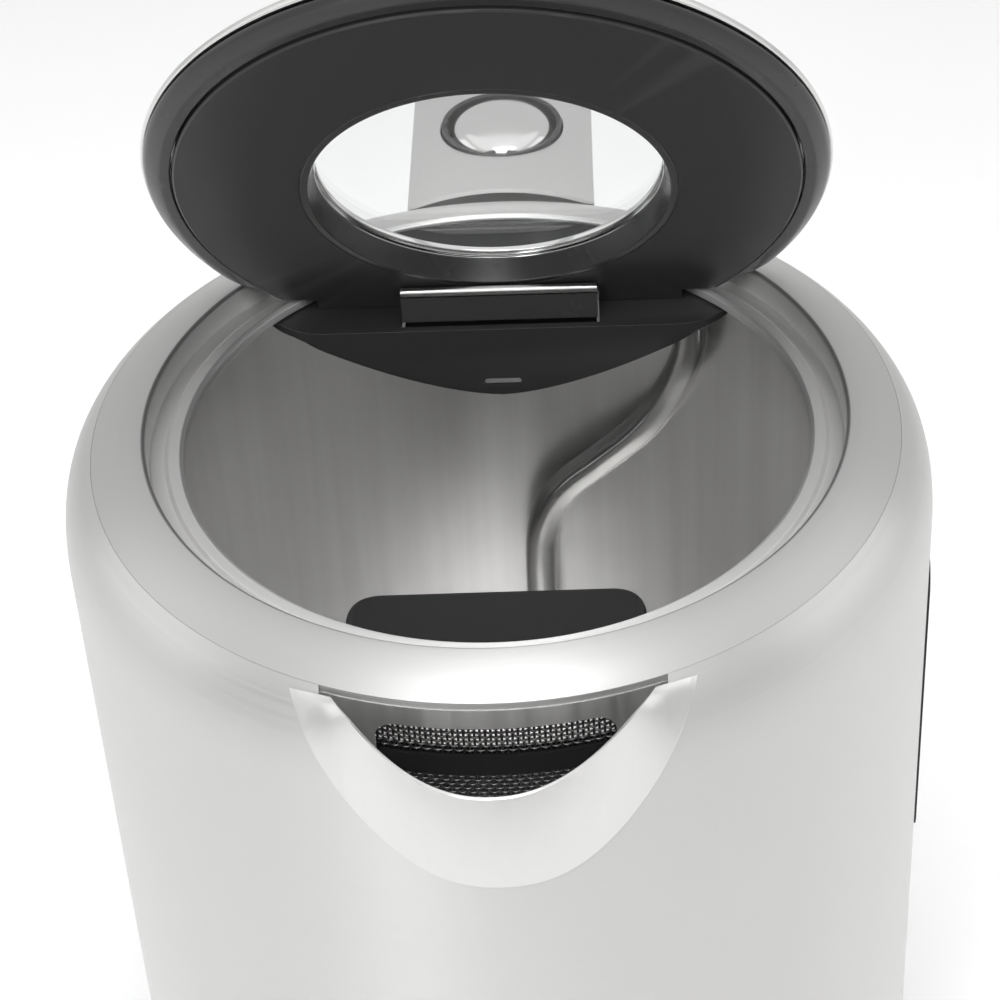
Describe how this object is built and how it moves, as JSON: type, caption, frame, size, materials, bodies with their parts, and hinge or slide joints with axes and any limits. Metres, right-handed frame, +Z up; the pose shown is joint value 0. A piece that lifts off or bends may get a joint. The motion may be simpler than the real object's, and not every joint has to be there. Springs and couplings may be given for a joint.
{
  "type": "electric kettle",
  "caption": "Cordless brushed-steel electric kettle with a round power base, V-shaped spout, removable filter, loop handle and a hinged lid with a round window, lid open.",
  "frame": {"origin": "on the kettle's vertical axis, on the flat underside of the power base at table level", "axes": "+Z up, -Y out of the spout, +Y towards the handle, +X to the right as seen from the spout's side of the camera"},
  "size_m": [0.1638, 0.2224, 0.2884],
  "materials": {
    "brushed_steel": "fine satin brushed stainless steel",
    "polished_steel": "bright polished stainless steel",
    "black_plastic": "satin black moulded plastic",
    "gloss_plastic": "glossy dark grey moulded plastic",
    "brass": "plain contact brass",
    "aluminium": "as cast",
    "rubber": "matt black rubber",
    "clear": "clear",
    "ceramic": "unglazed off-white ceramic"
  },
  "bodies": {
    "base": {"base_bottom_cover": "black_plastic", "base_top_shell": "gloss_plastic", "base_trim_ring": "brushed_steel", "cord_inlet_grommet": "rubber", "connector_tower": "black_plastic", "tower_contact_ring": "brass", "tower_contact_pin": "brass", "base_screw_1": "brushed_steel", "base_screw_2": "brushed_steel", "base_screw_3": "brushed_steel", "foot_1": "rubber", "foot_2": "rubber", "foot_3": "rubber", "foot_4": "rubber"},
    "collar": {"swivel_collar": "gloss_plastic"},
    "kettle": {"bottom_housing": "black_plastic", "kettle_connector": "black_plastic", "heat_plate": "aluminium", "heating_element": "aluminium", "boil_dry_thermostat": "ceramic", "steam_switch_body": "ceramic", "bimetal_disc": "brass", "switch_pivot_pin": "brushed_steel", "body_shell": "brushed_steel", "shoulder_ring": "brushed_steel", "inner_floor": "brushed_steel", "handle_screw_upper": "brushed_steel", "handle_screw_lower": "brushed_steel", "gauge_gasket_right": "rubber", "gauge_window_right": "clear", "gauge_gasket_left": "rubber", "gauge_window_left": "clear", "spout_beak": "brushed_steel", "spout_back_wall": "brushed_steel", "steam_tube": "brushed_steel", "hinge_cover": "black_plastic", "hinge_bracket": "brushed_steel", "hinge_pin": "brushed_steel", "hinge_spring": "brushed_steel", "rear_deck": "black_plastic", "handle_outer": "black_plastic", "handle_inner_cover": "black_plastic", "handle_top_plate": "brushed_steel", "button_bezel": "gloss_plastic", "button_spring": "brushed_steel"},
    "lid": {"lid_top_cover": "polished_steel", "lid_edge_ring": "gloss_plastic", "lid_inner_plate": "black_plastic", "window_bezel": "gloss_plastic", "window_glass": "clear", "window_trim_ring": "polished_steel", "lid_hinge_knuckle": "gloss_plastic", "lid_hinge_bar": "brushed_steel"},
    "filter": {"filter_frame": "black_plastic", "filter_mesh_upper": "brushed_steel", "filter_mesh_lower": "brushed_steel"},
    "button": {"lid_button": "polished_steel"},
    "latch": {"lid_latch": "brushed_steel"},
    "switch": {"switch_lever": "gloss_plastic"}
  },
  "joints": [
    {"name": "kettle_swivel", "type": "hinge", "parent": "base", "child": "collar", "pos_m": [0, 0, 0.028], "axis": [0, 0, 1], "continuous": true},
    {"name": "kettle_lift", "type": "slide", "parent": "collar", "child": "kettle", "axis": [0, 0, 1], "range_m": [0, 0.06]},
    {"name": "lid_hinge", "type": "hinge", "parent": "kettle", "child": "lid", "pos_m": [0, 0.0376, 0.1984], "axis": [1, 0, 0], "range_deg": [0, 63.5], "stiffness_Nm_per_rad": 0.1, "springref_deg": -28.65},
    {"name": "button_press", "type": "slide", "parent": "kettle", "child": "button", "axis": [0, 0, -1], "range_m": [0, 0.003], "stiffness_N_per_m": 300, "springref_m": -0.002, "deforming": ["button_spring"]},
    {"name": "latch_slide", "type": "slide", "parent": "kettle", "child": "latch", "axis": [0, 1, 0], "range_m": [0, 0.0025]},
    {"name": "switch_rock", "type": "hinge", "parent": "kettle", "child": "switch", "pos_m": [0, 0.072, 0.031], "axis": [-1, 0, 0], "range_deg": [0, 10]},
    {"name": "filter_draw", "type": "slide", "parent": "kettle", "child": "filter", "axis": [0, 1, 0], "range_m": [0, 0.02]}
  ],
  "couplings": [
    {"joint": "latch_slide", "follows": "button_press", "ratio": 0.83333}
  ]
}
